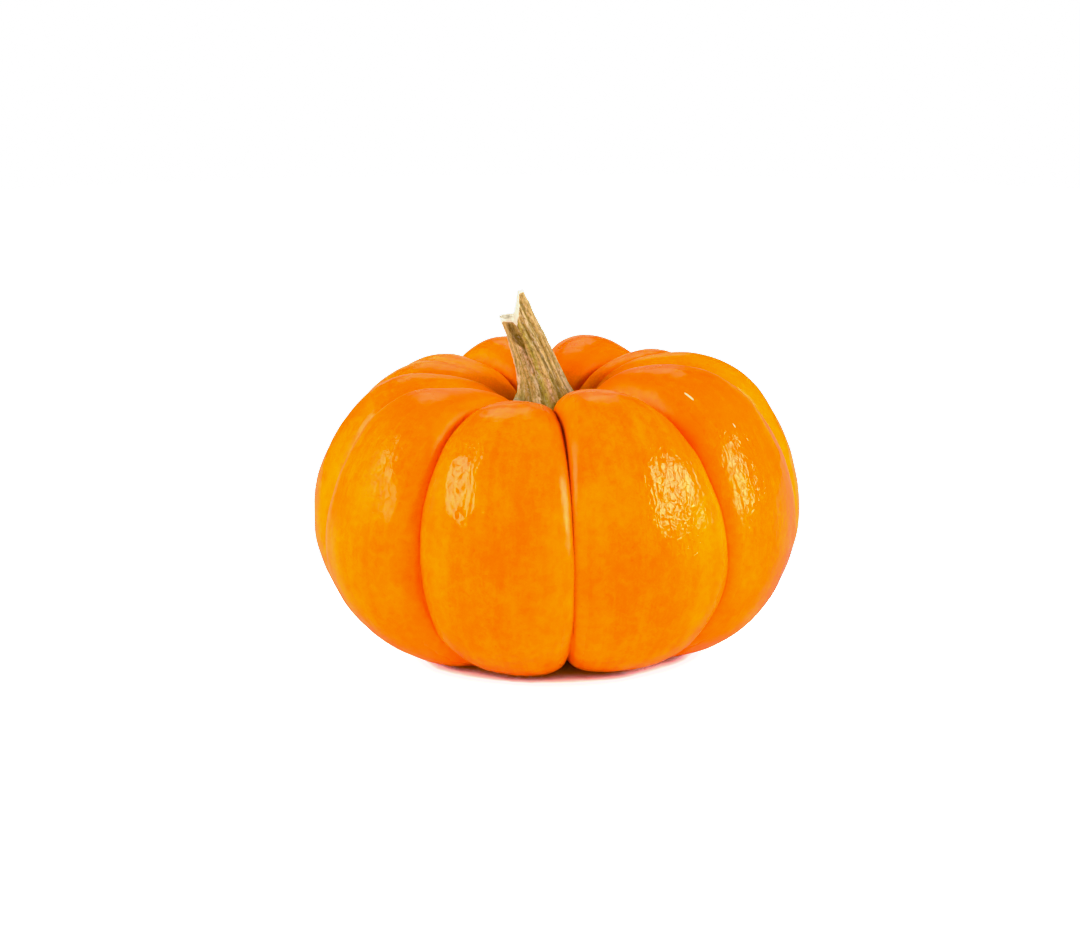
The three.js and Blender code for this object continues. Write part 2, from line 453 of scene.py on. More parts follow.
@dataclass(frozen=True)
class RindFinish:
    """Waxy orange skin: yellower in clouds and streaks, red in the grooves, corky at its ends.

    Some of its colour is painted light and shade: the red in the grooves is partly the skin's own
    and partly painted shade, the dark line down the bottom of a crease and the dark brown in the
    hollow round the stem are painted shade, and the pale line along the fine ribs' crests is a
    painted highlight. How yellow a lobe is, is partly its own colour and partly painted light on
    the lobes that the lamps light most, and the skin is less yellow towards the foot and the crown
    as painted shade.

    nicks are scratches: azimuth, lower and upper station, half width. pits are dents: place,
    radius and depth. mix holds the shares of clouds, streaks, mottle and threads in what turns
    the skin yellow. darkest is how bright the pigment is without noise, and lights is how much
    mottle, grit and threads add. The fades that end in _at go by the station, and those that
    begin with matt make the skin rougher. Where a thing wavers, its edge is ragged by so much.
    The depths are mm, save flesh_depth, in metres.
    """

    orange: Colour = (0.94, 0.140, 0.0)
    yellow: Colour = (0.96, 0.226, 0.0)
    # redder in the grooves: partly the skin's own colour, partly painted shade in the creases
    groove: Colour = (0.94, 0.108, 0.0)
    # painted shade: a dark line down the bottom of a crease
    seam_shade: Colour = (0.30, 0.014, 0.0)
    crown: Colour = (0.94, 0.115, 0.0)
    # painted shade: dark brown in the hollow round the stem
    hollow_shade: Colour = (0.40, 0.070, 0.004)
    speck: Colour = (0.60, 0.065, 0.0)
    cork: Colour = (0.33, 0.19, 0.070)
    nick: Colour = (0.90, 0.62, 0.36)
    # painted highlight: pale colour along the crests of the fine ribs
    rib: Colour = (0.96, 0.38, 0.10)
    nicks: tuple[tuple[float, float, float, float], ...] = (
        (51.3, 2.755, 2.79, 0.34),
        (57.0, 2.526, 2.528, 0.22),
    )
    pits: tuple[tuple[Place, float, float], ...] = (
        ((-18.55, -40.63, 41.82), 1.35, 0.17),
        ((-18.71, -42.74, 37.63), 1.45, 0.17),
        ((-19.36, -36.77, 45.97), 1.30, 0.09),
        ((-14.76, -43.94, 38.53), 1.20, 0.10),
    )
    clouds: Grain = Grain(13.0, 3.0)
    streaks: Grain = Grain(4.0, 3.0, 0.6, 0.5)
    mottle: Grain = Grain(1.7, 4.0, 0.75, 0.8)
    threads: Grain = Grain(0.9, 3.0, 0.7)
    grit: Grain = Grain(0.38, 1.0)
    polish: Grain = Grain(3.0, 3.0)
    ragged: Grain = Grain(2.5, 3.0)
    dents: Grain = Grain(2.8, 1.0)
    pores: Grain = Grain(0.9, 2.0)
    wrinkles: Grain = Grain(2.5, 1.0, 0.5, 0.9)
    crinkles: Grain = Grain(1.25, 1.0, 0.5, 0.7)
    mix: tuple[float, ...] = (0.38, 0.30, 0.25, 0.07)
    yellowed: Fade = Fade(0.36, 0.64)
    # how much each lobe's yellowness counts: partly its own colour, partly painted light
    ripe_and_lit_weight: float = 0.32
    # how much less yellow the skin is towards the foot and the crown: painted shade
    ends_shade: float = 0.05
    girth_at: Fade = Fade(1.2, 1.7)
    shoulder_at: Fade = Fade(2.1, 2.7)
    crown_at: Fade = Fade(3.1, 3.8, 0.75)
    # where the painted shade in the hollow round the stem sets in
    hollow_shade_at: Fade = Fade(3.25, 3.9, 0.80)
    hollow_shade_wavers: float = 0.3
    # how far the grooves' red spreads: partly own colour, partly painted shade
    sunk: Fade = Fade(0.6, 1.0, 0.6)
    sunk_wavers: float = 0.25
    scar_at: Fade = Fade(0.30, 0.20)
    cork_at: Fade = Fade(3.93, 4.0)
    cork_wavers: float = 0.14
    speck_spacing: float = 2.6
    speck_chosen: Fade = Fade(0.62, 0.66)
    speck_edge: Fade = Fade(0.13, 0.05, 0.35)
    darkest: float = 0.62
    lights: tuple[float, ...] = (0.32, 0.36, 0.08)
    rib_highlight_strength: Pair = (0.15, 0.6)
    nick_core: float = 0.4
    dent_depth: float = 0.20
    pore_depth: float = 0.012
    wrinkle_depth: float = 0.34
    crinkle_share: float = 0.6
    least_wrinkled: float = 0.10
    roughness: float = 0.125
    roughest: float = 0.9
    polish_spread: float = 0.12
    matt_groove: Fade = Fade(0.12, 0.6, 0.20)
    matt_shoulder_at: Fade = Fade(2.5, 3.2, 0.14)
    matt_hollow_at: Fade = Fade(3.2, 3.7, 0.30)
    matt_cork: float = 0.4
    index: float = 1.40
    gloss: Colour = (1.0, 0.90, 0.40)
    flesh: float = 0.25
    flesh_reach: Colour = (1.0, 0.30, 0.05)
    flesh_depth: float = 0.003

    def material(self) -> bpy.types.Material:
        """Builds the material."""
        material, board = new_board("waxy_rind")
        place = self.place(board)
        board.dress({
            "Base Color": self.colour(board, place),
            "Roughness": self.matt(board, place),
            "IOR": self.index,
            "Specular Tint": self.gloss,
            "Subsurface Weight": self.flesh,
            "Subsurface Radius": self.flesh_reach,
            "Subsurface Scale": self.flesh_depth,
            "Normal": board.bump(self.relief(board, place)),
        })
        return material

    def place(self, board: Board) -> bpy.types.NodeSocket:
        """Coordinates on the object in millimetres."""
        return board.scaled(board.node("ShaderNodeTexCoord").outputs["Object"], 1.0 / MM)

    def matt(self, board: Board, place: bpy.types.NodeSocket) -> Value:
        """The skin's roughness."""
        station = board.number("station")
        waxed = (
            self.roughness
            + self.polish_spread * (board.cloud(place, self.polish) - 0.5)
            + board.number("dull")
            + self.matt_groove.of(board.number("groove"))
            + self.matt_shoulder_at.of(station)
            + self.matt_hollow_at.of(station)
        )
        return (waxed + self.matt_cork * self.corky(board, place)).at_most(self.roughest)

    def corky(self, board: Board, place: bpy.types.NodeSocket) -> Value:
        """How corky the skin is: 1 on the blossom scar and against the stem."""
        uneven = board.cloud(place, self.ragged) - 0.5
        ragged = board.number("station") + self.cork_wavers * uneven
        return self.scar_at.of(ragged).at_least(self.cork_at.of(ragged))

    def specks(self, board: Board, place: bpy.types.NodeSocket) -> Value:
        """How much of a speck there is: a dot in some of the cells of a pattern."""
        cells = board.spots(place, self.speck_spacing)
        chosen = self.speck_chosen.of(Value(board, cells.outputs["Color"]))
        return self.speck_edge.of(Value(board, cells.outputs["Distance"])) * chosen

    def colour(self, board: Board, place: bpy.types.NodeSocket) -> bpy.types.NodeSocket:
        """The skin's pigment."""
        meridian = board.vector("meridian")
        groove = board.number("groove")
        station = board.number("station")
        clouds = board.cloud(place, self.clouds)
        streaks = board.cloud(meridian, self.streaks)
        mottle = board.cloud(place, self.mottle)
        threads = board.cloud(meridian, self.threads)
        mixed = weighted(self.mix, (clouds, streaks, mottle, threads))
        # girth is 1 round the middle and falls towards the foot and crown, which get painted shade
        girth = self.girth_at.of(station) - self.shoulder_at.of(station)
        # yellower on some lobes: partly the skin's own colour, partly painted light where the lamps light
        # most
        yellowing = self.ripe_and_lit_weight * (board.number("ripe_and_lit") - 0.5) + self.ends_shade * (girth - 1.0)
        skin = board.blend(self.yellowed.of(mixed + yellowing), self.orange, self.yellow)
        skin = board.blend(self.crown_at.of(station), skin, self.crown)
        # paints shade into the hollow round the stem
        hollow_shade = self.hollow_shade_at.of(station + self.hollow_shade_wavers * (clouds - 0.5))
        skin = board.blend(hollow_shade, skin, self.hollow_shade)
        # reddens the grooves: partly the skin's own colour, partly painted shade
        sunk = self.sunk.of(groove + self.sunk_wavers * (streaks - 0.5))
        skin = board.blend(sunk, skin, self.groove)
        # paints shade as a dark line down the bottom of a crease
        skin = board.blend(board.number("seam_shade"), skin, self.seam_shade)
        skin = board.blend(self.specks(board, place), skin, self.speck)
        grit = board.cloud(place, self.grit)
        skin = board.scaled(skin, self.darkest + weighted(self.lights, (mottle, grit, threads)))
        # paints a highlight along the crests of the fine ribs
        least, more = self.rib_highlight_strength
        skin = board.blend(board.number("rib") * (least + more * mottle), skin, self.rib)
        for azimuth, low, high, half_width in self.nicks:
            start, end = (weave_place(azimuth, station) for station in (low, high))
            away = board.line(board.vector("weave"), start, end)
            cut = away.eased(half_width, half_width * self.nick_core)
            skin = board.blend(cut, skin, self.nick)
        return board.blend(self.corky(board, place), skin, self.cork)

    def relief(self, board: Board, place: bpy.types.NodeSocket) -> Value:
        """Height of the fine relief in millimetres: soft dents, pores and crepe wrinkles."""
        dents = board.cloud(place, self.dents) * self.dent_depth
        for centre, radius, depth in self.pits:
            dents = dents - board.distance(place, centre).eased(radius, 0.0) * depth
        pores = board.cloud(place, self.pores) * self.pore_depth
        broad = abs(board.cloud(board.vector("weave"), self.wrinkles) - 0.5)
        fine = abs(board.cloud(place, self.crinkles) - 0.5)
        crepe = board.number("crepe") + self.least_wrinkled
        return dents + pores - (broad + self.crinkle_share * fine) * crepe * self.wrinkle_depth


class Tone(Enum):
    """What colours a stripe or patch of the stem."""

    PLAIN = "plain"
    OLIVE = "olive"
    GREEN = "green"
    PINK = "pink"
    BROWN = "brown"
    MOSS = "moss"
    CREAM = "cream"


@dataclass(frozen=True)
class StemFinish:
    """Dry ridged stem: speckled tan bark, olive furrows that are partly painted shade, patches, and a
    cream broken end.

    tones are the patches and stripes: what they are, their colour, and its share at the most.
    Their outlines are ragged: core is how much of a tone lets the noise fray it, frayed is how
    strongly the speckle does so, and edge is where the rest shows. darkest is how bright the bark
    is without noise, and lights is how much speckle and flecks add. brown_hides is how far brown
    covers the pale specks.
    """

    tan: Colour = (0.310, 0.180, 0.052)
    straw: Colour = (0.47, 0.315, 0.110)
    olive: Colour = (0.160, 0.135, 0.030)
    shade: Colour = (0.120, 0.070, 0.022)
    pale: Colour = (0.50, 0.37, 0.24)
    wood: Colour = (0.72, 0.66, 0.53)
    tones: tuple[tuple[Tone, Colour, float], ...] = (
        (Tone.PINK, (0.56, 0.340, 0.220), 0.75),
        (Tone.CREAM, (0.56, 0.430, 0.250), 0.80),
        (Tone.MOSS, (0.200, 0.205, 0.105), 0.85),
        (Tone.GREEN, (0.300, 0.245, 0.035), 0.85),
        (Tone.BROWN, (0.070, 0.032, 0.008), 0.95),
        # dark olive in the furrows: partly the stem's own colour, partly painted shade
        (Tone.OLIVE, (0.090, 0.072, 0.012), 0.72),
    )
    fibres: Grain = Grain(0.8, 5.0, 0.75)
    threads: Grain = Grain(0.30, 2.0, 0.6)
    bands: Grain = Grain(1.5, 3.0, 0.6, 1.2)
    speckle: Grain = Grain(0.55, 3.0, 0.75)
    flecks: Grain = Grain(0.30, 1.0)
    fibre_relief: Grain = Grain(0.7, 4.0, 0.7)
    bark_relief: Grain = Grain(0.5, 2.0, 0.6)
    strawed: Fade = Fade(0.36, 0.64)
    frayed: float = 2.4
    core: Fade = Fade(0.0, 0.3)
    edge: Fade = Fade(0.40, 1.10)
    darkest: float = 0.07
    lights: Pair = (1.22, 0.82)
    olive_bands: Fade = Fade(0.50, 0.36, 0.55)
    dark_threads: Fade = Fade(0.44, 0.33, 0.60)
    pale_threads: Fade = Fade(0.58, 0.70, 0.45)
    dark_specks: Fade = Fade(0.46, 0.34, 0.70)
    pale_specks: Fade = Fade(0.55, 0.66, 0.65)
    brown_hides: float = 0.65
    break_edge: Fade = Fade(0.30, 0.60)
    break_frayed: float = 0.9
    straw_in_wood: Fade = Fade(0.50, 0.30, 0.40)
    fibre_depth: float = 0.16
    bark_depth: float = 0.10
    roughness: float = 0.75
    index: float = 1.35

    def material(self) -> bpy.types.Material:
        """Builds the material."""
        material, board = new_board("dry_stem")
        board.dress({
            "Base Color": self.colour(board),
            "Roughness": self.roughness,
            "IOR": self.index,
            "Normal": board.bump(self.relief(board)),
        })
        return material

    def colour(self, board: Board) -> bpy.types.NodeSocket:
        """The stem's colour."""
        fibre = board.vector("fibre")
        bark = board.vector("bark")
        fibres = board.cloud(fibre, self.fibres)
        threads = board.cloud(fibre, self.threads)
        speckle = board.cloud(bark, self.speckle)
        ragged = self.frayed * (speckle - 0.5) + (fibres - 0.5)
        skin = board.blend(self.strawed.of(fibres), self.tan, self.straw)
        for tone, colour, most in self.tones:
            amount = board.number(tone.value)
            share = self.edge.of(amount + ragged * self.core.of(amount)) * most
            skin = board.blend(share, skin, colour)
        flecks = board.cloud(bark, self.flecks)
        skin = board.scaled(skin, self.darkest + weighted(self.lights, (speckle, flecks)))
        bands = board.cloud(fibre, self.bands)
        fresh = 1.0 - self.brown_hides * board.number(Tone.BROWN.value)
        for share, colour in (
            (self.olive_bands.of(bands), self.olive),
            (self.dark_threads.of(threads), self.shade),
            (self.pale_threads.of(threads) * fresh, self.pale),
            (self.dark_specks.of(speckle), self.shade),
            (self.pale_specks.of(speckle) * fresh, self.pale),
        ):
            skin = board.blend(share, skin, colour)
        broken = self.break_edge.of(board.number("broken") + self.break_frayed * (speckle - 0.5))
        wood = board.blend(self.straw_in_wood.of(fibres), self.wood, self.straw)
        return board.blend(broken, skin, wood)

    def relief(self, board: Board) -> Value:
        """Height of the fine fibres and specks in millimetres."""
        fibres = board.cloud(board.vector("fibre"), self.fibre_relief) * self.fibre_depth
        return fibres + board.cloud(board.vector("bark"), self.bark_relief) * self.bark_depth


class Quarter(IntEnum):
    """The four stretches of a lobe, in stations from the blossom end to the stem."""

    DIMPLE = 0
    BELLY = 1
    SHOULDER = 2
    HOLLOW = 3


@dataclass(frozen=True)
class Lobe:
    """One lobe and the groove it begins at.

    groove is that groove's azimuth, lean tips it from foot to crown and bow curves it, all in
    degrees. cut scales its depth, and stain paints shade down its bottom. taller and fuller are
    mm added at the crown and the girth. ripe turns the lobe yellower, partly as its own colour and
    partly as painted light on the lobes that the lamps light most. dull takes off some of its
    shine.
    """

    groove: float
    lean: float
    bow: float
    cut: float
    taller: float
    fuller: float
    ripe_and_lit: float = 0.45
    dull: float = 0.0
    # how strongly painted shade darkens the bottom of the groove this lobe begins at
    crease_shade: float = 0.0


@dataclass(frozen=True)
class Welt:
    """A fine rib, or with a negative height a furrow, that runs along a lobe.

    across and width are shares of half the lobe. start and end are stations, and ease is the
    length over which the welt rises at either end.
    """

    lobe: int
    across: float
    height: float
    width: float
    start: float
    end: float
    ease: float = 0.5
    slant: float = 0.0

    def at(self, index: Array, across: Array, station: Array) -> Array:
        """Height of the welt in mm at each point."""
        middle = (self.start + self.end) / 2
        centre = self.across + self.slant * (station - middle)
        rising = smooth(self.start, self.start + self.ease, station)
        falling = smooth(self.end, self.end - self.ease, station)
        side = np.exp(-(((across - centre) / self.width) ** 2))
        return self.height * side * rising * falling * (index == self.lobe)


@dataclass
class Fruit:
    """The fruit: ten lobes round an axis, a hollow for the stem and a dimple underneath.

    Radii, heights, depths and shifts are mm. crepe_at lists where the skin is wrinkled: lobe,
    place across it from -1 to 1, station, strength. The pairs that end in _from and _to are
    stations between which a thing sets in and fades. steps counts the columns of each lobe, and
    rows the rings of each quarter.
    """

    finish: RindFinish = field(default_factory=RindFinish)
    girth_radius: float = GIRTH_MM
    girth_height: float = 27.8
    crown_radius: float = 26.1
    crown_height: float = 56.9
    foot_radius: float = 17.9
    dimple_height: float = 6.0
    shoulder_power: float = 1.03
    belly_power: float = 0.965
    lobe_power: float = 2.3
    foot_flat: float = 0.5
    seat_height: float = 48.0
    seat_radius: float = 8.2
    seat_shift: Pair = (-1.6, -0.2)
    scar_radius: float = 4.2
    scar_drop: float = 1.1
    tilt: float = -0.01
    tilt_azimuth: float = 72.0
    axis: Pair = (-0.55, -0.05)
    groove_stations: tuple[float, ...] = (0.0, 0.6, 1.2, 2.0, 3.0, 3.6, 4.0)
    groove_depths: tuple[float, ...] = (0.5, 3.6, 4.0, 3.7, 5.9, 3.5, 0.6)
    lobes: tuple[Lobe, ...] = (
        Lobe(-36.5, -1, 1.5, 0.92, -2.0, -0.2, ripe_and_lit=0.44),
        Lobe(4.0, -1.5, 0, 1.0, 0.7, -1.4, ripe_and_lit=0.42, crease_shade=0.60),
        Lobe(45.0, -6, 1, 1.04, 3.1, 0.1, ripe_and_lit=0.20),
        Lobe(83.5, 7, 2, 0.97, 2.4, 1.0, ripe_and_lit=1.00),
        Lobe(116.5, -0.5, 0, 1.02, 0.2, 0.3, ripe_and_lit=0.60),
        Lobe(147, -2, -0.5, 1.02, 0.9, 0.0, ripe_and_lit=0.14),
        Lobe(182.5, -0.5, 0, 1.0, 0.4, 0.1, ripe_and_lit=0.40),
        Lobe(215.5, 0.5, 0.5, 1.0, -1.3, -0.9, ripe_and_lit=0.90, dull=0.05),
        Lobe(263.5, 0, 1.5, 1.03, -1.0, -0.3, ripe_and_lit=0.70, dull=0.05),
        Lobe(291, 0, 1, 1.03, -1.2, 2.7, ripe_and_lit=0.42, dull=0.06),
    )
    lumps: tuple[Layer, ...] = (Layer(17.0, 0.70, 3.1), Layer(8.0, 0.28, 7.7), Layer(3.4, 0.07, 1.3))
    welts: tuple[Welt, ...] = (
        Welt(2, 0.30, 0.42, 0.09, 2.0, 3.3, slant=-0.35),
        Welt(2, 0.62, 0.42, 0.08, 1.4, 3.0, slant=0.10),
        Welt(9, -0.62, 0.45, 0.09, 1.3, 3.2),
        Welt(9, -0.84, 0.36, 0.06, 1.3, 3.2),
        Welt(7, 0.1, -0.55, 0.14, 1.8, 3.6),
        Welt(0, 0.02, -0.16, 0.12, 1.6, 2.8),
        Welt(0, 0.50, -0.10, 0.10, 1.5, 2.8),
        Welt(1, -0.35, -0.10, 0.12, 1.5, 2.8),
        Welt(9, 0.35, -0.10, 0.10, 2.2, 2.45, ease=0.1),
        Welt(9, 0.05, -0.10, 0.10, 2.3, 2.6, ease=0.12),
    )
    crepe_at: tuple[tuple[int, float, float, float], ...] = (
        (1, 0.36, 2.27, 1.40),
        (2, -0.50, 2.28, 1.5),
        (9, 0.25, 2.38, 1.6),
        (9, -0.30, 2.30, 0.7),
        (0, -0.45, 2.48, 0.50),
        (4, -0.30, 2.40, 1.0),
        (7, 0.30, 2.20, 1.0),
    )
    crepe_size: Pair = (0.40, 0.26)
    crown_from: Pair = (1.2, 3.2)
    crown_to: Pair = (3.3, 4.0)
    girth_reach: float = 1.5
    seam_from: Pair = (1.0, 2.3)
    seam_to: Pair = (3.2, 3.7)
    seam_edge: Pair = (0.978, 0.999)
    lumps_from: Pair = (0.0, 0.8)
    lumps_to: Pair = (2.6, 3.5)
    lumps_lost: float = 0.85
    steps: int = 36
    rows: tuple[int, ...] = (38, 80, 84, 52)

    def each(self, name: str) -> Array:
        """One of the lobes' numbers, for every lobe in order."""
        return np.array([getattr(lobe, name) for lobe in self.lobes])

    def crest(self, station: Array) -> tuple[Array, Array]:
        """Radius and height of the crests' section at each station, before lobes differ."""
        quarter = np.minimum(np.floor(station), Quarter.HOLLOW)
        share = station - quarter
        sin = np.sin(share * math.pi / 2)
        cos = np.maximum(np.cos(share * math.pi / 2), 0.0)
        belly = self.girth_radius - self.foot_radius
        shoulder = self.girth_radius - self.crown_radius
        rise = self.crown_height - self.girth_height
        kinds = [quarter == kind for kind in Quarter]
        radius = np.select(kinds, [
            self.foot_radius * share,
            self.foot_radius + belly * sin ** self.belly_power,
            self.crown_radius + shoulder * cos ** self.shoulder_power,
            self.crown_radius - (self.crown_radius - self.seat_radius) * sin,
        ])
        height = np.select(kinds, [
            self.dimple_height * cos * cos,
            self.girth_height * (1 - cos ** self.belly_power),
            self.girth_height + rise * sin ** self.shoulder_power,
            self.seat_height + (self.crown_height - self.seat_height) * cos,
        ])
        return radius, height

    def crest_normal(self, station: Array) -> tuple[Array, Array]:
        """Outward and upward parts of that section's direction at each station."""
        step = 1e-3
        before = self.crest(np.maximum(station - step, 0.0))
        after = self.crest(np.minimum(station + step, STEM_STATION))
        run = after[0] - before[0]
        rise = after[1] - before[1]
        length = np.hypot(run, rise)
        return rise / length, -run / length

    def groove_depth(self, station: Array) -> Array:
        """Depth of a groove at each station, eased between the listed ones."""
        stations = np.array(self.groove_stations)
        depths = np.array(self.groove_depths)
        low = np.clip(np.searchsorted(stations, station) - 1, 0, len(stations) - 2)
        share = (station - stations[low]) / (stations[low + 1] - stations[low])
        eased = share * share * (3 - 2 * share)
        return depths[low] + (depths[low + 1] - depths[low]) * eased

    def groove_azimuth(self, index: Array, station: Array) -> Array:
        """Azimuth of the groove that a lobe begins at, at each station."""
        count = len(self.lobes)
        wrapped = index % count
        groove, lean, bow = (self.each(name)[wrapped] for name in ("groove", "lean", "bow"))
        rise = (station - 2) / 2
        return groove + 360.0 * (index // count) + lean * rise + bow * (1 - rise * rise)

    def skin(self, index: Array, across: Array, station: Array) -> dict[str, Array]:
        """Points of the skin and what the finish reads there.

        Args:
            index: Number of the lobe.
            across: Place between its two grooves, from -1 to 1.
            station: Place along the lobe, from 0 at the blossom end to 4 at the stem.

        Returns:
            The points in mm round the axis, and the values that the mesh carries.
        """
        names = ("cut", "taller", "fuller", "ripe_and_lit", "dull")
        cut, taller, fuller, ripe_and_lit, dull = (self.each(name) for name in names)
        share = (across + 1) / 2
        after = (index + 1) % len(self.lobes)
        azimuth = (
            self.groove_azimuth(index, station) * (1 - share)
            + self.groove_azimuth(index + 1, station) * share
        )
        bulge = np.sqrt(np.maximum(0.0, 1 - np.abs(across) ** self.lobe_power))
        scale = cut[index] * (1 - share) + cut[after] * share
        sunk = self.groove_depth(station) * scale * (1 - bulge)
        radius, height = self.crest(station)
        out, up = self.crest_normal(station)
        tilt = self.tilt * np.cos(np.radians(azimuth - self.tilt_azimuth))
        tall = smooth(*self.crown_from, station) * (1 - smooth(*self.crown_to, station))
        full = smooth(0.0, self.girth_reach, np.minimum(station, STEM_STATION - station))
        radius = (radius - out * sunk) * (1 + full * bulge * fuller[index] / self.girth_radius)
        height = (height - up * sunk) * (1 + tall * (tilt + bulge * taller[index] / self.crown_height))
        scar = self.scar_drop * (1 - smooth(self.scar_radius * 0.5, self.scar_radius, radius))
        height = height - scar * (station < 1)
        inner = smooth(float(Quarter.SHOULDER), STEM_STATION, station)
        angle = np.radians(azimuth)
        points = np.stack((
            radius * np.sin(angle) + self.seat_shift[0] * inner,
            -radius * np.cos(angle) + self.seat_shift[1] * inner,
            height,
        ), axis=-1)
        around = (self.girth_radius * np.sin(angle), self.girth_radius * np.cos(angle))
        return {
            "points": points,
            "meridian": np.stack((*around, MERIDIAN_STEP_MM * station), axis=-1),
            "weave": np.stack((*around, WEAVE_STEP_MM * station), axis=-1),
            "groove": 1 - bulge,
            "station": station,
            "ripe_and_lit": ripe_and_lit[index] * bulge + ripe_and_lit.mean() * (1 - bulge),
            "dull": dull[index] * bulge,
            "crepe": self.crepe(index, across, station),
            "seam_shade": self.seam_shade(index, across, station),
            "rib": self.rib(index, across, station),
        }

    def seam_shade(self, index: Array, across: Array, station: Array) -> Array:
        """How much painted shade darkens the bottom of the groove at each point."""
        crease_shades = self.each("crease_shade")
        after = (index + 1) % len(self.lobes)
        crease_shade = np.where(across < 0, crease_shades[index], crease_shades[after])
        ends = smooth(*self.seam_from, station) * (1 - smooth(*self.seam_to, station))
        return crease_shade * smooth(*self.seam_edge, np.abs(across)) * ends

    def crepe(self, index: Array, across: Array, station: Array) -> Array:
        """How wrinkled the skin is at each point."""
        total = np.zeros(across.shape)
        for lobe, side, place, strength in self.crepe_at:
            away = np.hypot((across - side) / self.crepe_size[0], (station - place) / self.crepe_size[1])
            total += strength * np.exp(-(away ** 2)) * (index == lobe)
        return total

    def relief(self, grid: Array, index: Array, across: Array, station: Array) -> Array:
        """How far the lumps and welts stand out of the skin, in mm, at each point."""
        total = np.zeros(across.shape)
        for layer in self.lumps:
            total += layer.at(grid.reshape(-1, 3)).reshape(across.shape)
        total *= smooth(*self.lumps_from, station)
        total *= 1 - smooth(*self.lumps_to, station) * self.lumps_lost
        for welt in self.welts:
            total += welt.at(index, across, station)
        return total

    def rib(self, index: Array, across: Array, station: Array) -> Array:
        """How much painted highlight lies along a rib's crest at each point, from 0 to 1."""
        ribs = [welt for welt in self.welts if welt.height > 0]
        return sum((welt.at(index, across, station) / welt.height) ** 3 for welt in ribs)

    def build(self) -> bpy.types.Object:
        """Builds the fruit, dresses it and lets it stand for the frame's node."""
        stations = np.concatenate([
            kind + np.arange(1, count + 1) / count for kind, count in zip(Quarter, self.rows)
        ])
        column = np.arange(self.steps * len(self.lobes))
        index, station = np.meshgrid(column // self.steps, stations, indexing="xy")
        crowded = np.sin(((column % self.steps) / self.steps - 0.5) * math.pi)
        across = np.broadcast_to(crowded, index.shape)
        made = self.skin(index, across, station)
        grid = made.pop("points")
        grid = grid + grid_normals(grid) * self.relief(grid, index, across, station)[..., None]
        grid[..., 2] = np.maximum(grid[..., 2], self.foot_flat) - self.foot_flat
        grid[..., 0] += self.axis[0]
        grid[..., 1] += self.axis[1]
        piece = new_piece("pumpkin_fruit", grid, self.finish.material(), made)
        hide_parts("fruit")
        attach(piece, "root")
        return piece


@dataclass(frozen=True)
class Stripe:
    """A ridge, a furrow or a patch that runs up the stem.

    foot and top are its azimuths at the stem's foot and at the break, and width is half its
    width, all in degrees. height is a share of the stem's radius, below 0 for a furrow. low and
    high are how far up it starts and ends, as shares of the height to the break, and ease is how
    far it fades there. Every stripe wavers by wobble degrees, at wobble_rate radians per height.
    """

    foot: float
    top: float
    width: float
    height: float
    tone: Tone = Tone.PLAIN
    low: float = -1.0
    high: float = 2.0
    ease: float = 0.04
    wobble: float = 2.4
    wobble_rate: float = 7.0

    def at(self, azimuth: Array, rise: Array) -> Array:
        """How much of the stripe there is at each point, from 0 to 1."""
        centre = self.foot + (self.top - self.foot) * np.clip(rise, 0.0, 1.0)
        centre = centre + self.wobble * np.sin(self.wobble_rate * rise + self.foot)
        away = turned(azimuth, centre)
        ends = smooth(self.low - self.ease, self.low + self.ease, rise)
        ends = ends * (1 - smooth(self.high - self.ease, self.high + self.ease, rise))
        return np.exp(-((away / self.width) ** 2)) * ends


